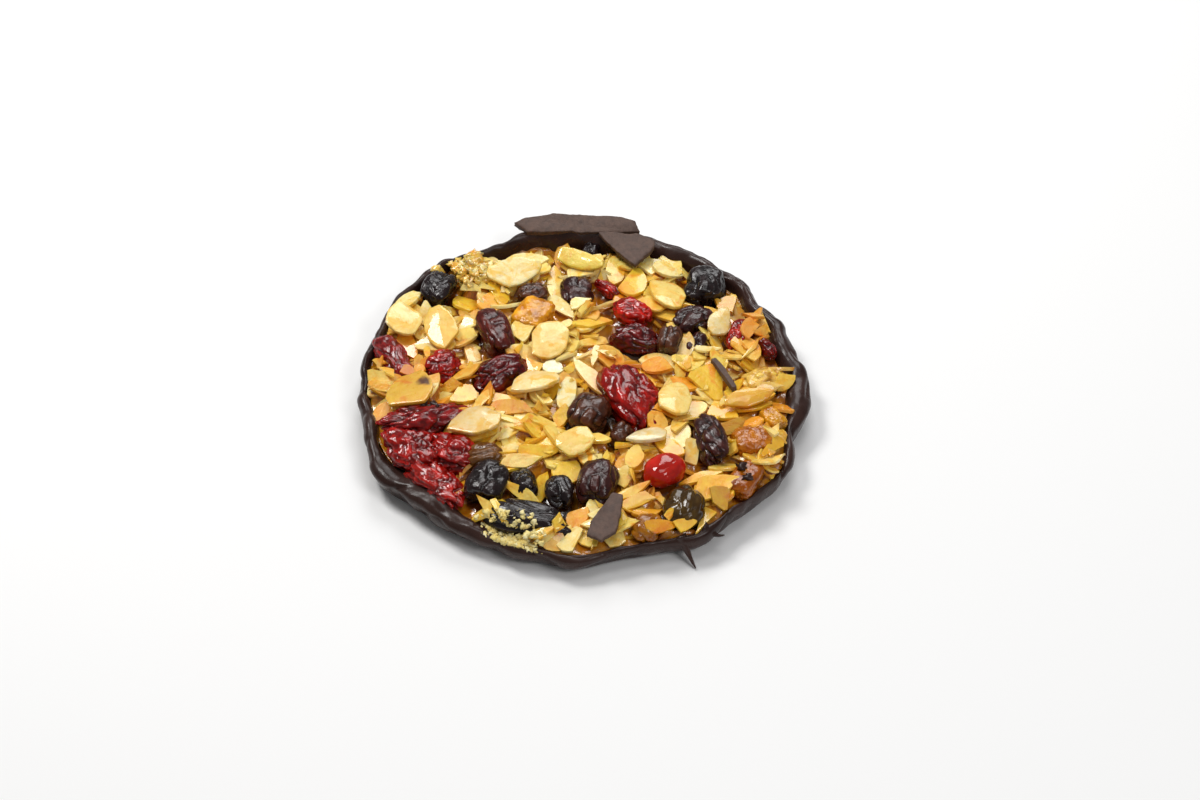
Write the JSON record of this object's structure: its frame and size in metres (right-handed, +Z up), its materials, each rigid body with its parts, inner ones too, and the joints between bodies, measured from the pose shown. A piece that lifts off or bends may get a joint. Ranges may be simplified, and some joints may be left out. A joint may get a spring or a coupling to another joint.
{
  "type": "florentine cookie",
  "caption": "Round florentine cookie: flaked almonds, raisins, dried cranberries and candied peel set in caramel inside a thin dark chocolate dish with an uneven rim.",
  "frame": {"origin": "centre of the cookie's bounding box in X and Y, on the flat underside of the chocolate dish", "axes": "+Z up, out of the fruit and almond side; +Y towards the side with the long broken chocolate shard on the rim; +X to the right when the shard is at the back"},
  "size_m": [0.0922, 0.0944, 0.0119],
  "materials": {
    "chocolate": "dark chocolate, semi-gloss with soft highlights",
    "chocolate_shard": "broken dark chocolate, matt and finely grained",
    "caramel_heap": "flaked almonds bound in clear amber caramel",
    "almond": "pale cream to golden toasted almond, thinly glazed",
    "raisin": "near-black purple-brown wrinkled skin with a sticky sheen",
    "cranberry": "deep red, wrinkled and glossy",
    "cherry": "clear bright red candied cherry, glossy",
    "currant": "olive-brown plump currant, glossy",
    "sultana": "golden-brown, glassy",
    "candied_ginger": "honey-coloured translucent lumps",
    "candied_peel": "amber-orange translucent candied orange peel"
  },
  "bodies": {
    "root": {"almond_heap": "caramel_heap", "almond_slice_01": "almond", "almond_slice_02": "almond", "almond_slice_03": "almond", "almond_slice_04": "almond", "almond_slice_05": "almond", "almond_slice_06": "almond", "almond_slice_07": "almond", "almond_slice_08": "almond", "almond_slice_09": "almond", "almond_slice_10": "almond", "almond_slice_11": "almond", "almond_slice_12": "almond", "almond_slice_13": "almond", "almond_slice_14": "almond", "cherry_front_right": "cherry", "chocolate_dish": "chocolate", "chocolate_shard_back_long": "chocolate_shard", "chocolate_shard_back_small": "chocolate_shard", "chocolate_shard_front": "chocolate_shard", "chocolate_sliver_right": "chocolate_shard", "cranberry_back_centre": "cranberry", "cranberry_dark_centre": "cranberry", "cranberry_heap_front": "cranberry", "cranberry_heap_inner": "cranberry", "cranberry_heap_middle": "cranberry", "cranberry_heap_top": "cranberry", "cranberry_large_centre": "cranberry", "cranberry_left": "cranberry", "cranberry_left_of_centre": "cranberry", "cranberry_left_rim": "cranberry", "cranberry_right": "cranberry", "cranberry_right_rim": "cranberry", "cranberry_strip_back": "cranberry", "currant_front_right": "currant", "ginger_right": "candied_ginger", "peel_back_left": "candied_peel", "peel_front_right": "candied_peel", "peel_right": "candied_peel", "peel_right_rim": "candied_peel", "raisin_back_left": "raisin", "raisin_back_rim": "raisin", "raisin_back_sunk": "raisin", "raisin_behind_peel": "raisin", "raisin_centre": "raisin", "raisin_centre_right": "raisin", "raisin_centre_small": "raisin", "raisin_front_centre": "raisin", "raisin_front_left": "raisin", "raisin_front_left_of_centre": "raisin", "raisin_front_sunk": "raisin", "raisin_large_back_right": "raisin", "raisin_long_front": "raisin", "raisin_long_left": "raisin", "raisin_long_right": "raisin", "raisin_right_back": "raisin", "raisin_right_small": "raisin", "sultana_front": "sultana", "sultana_left_of_centre": "sultana"}
  },
  "joints": []
}
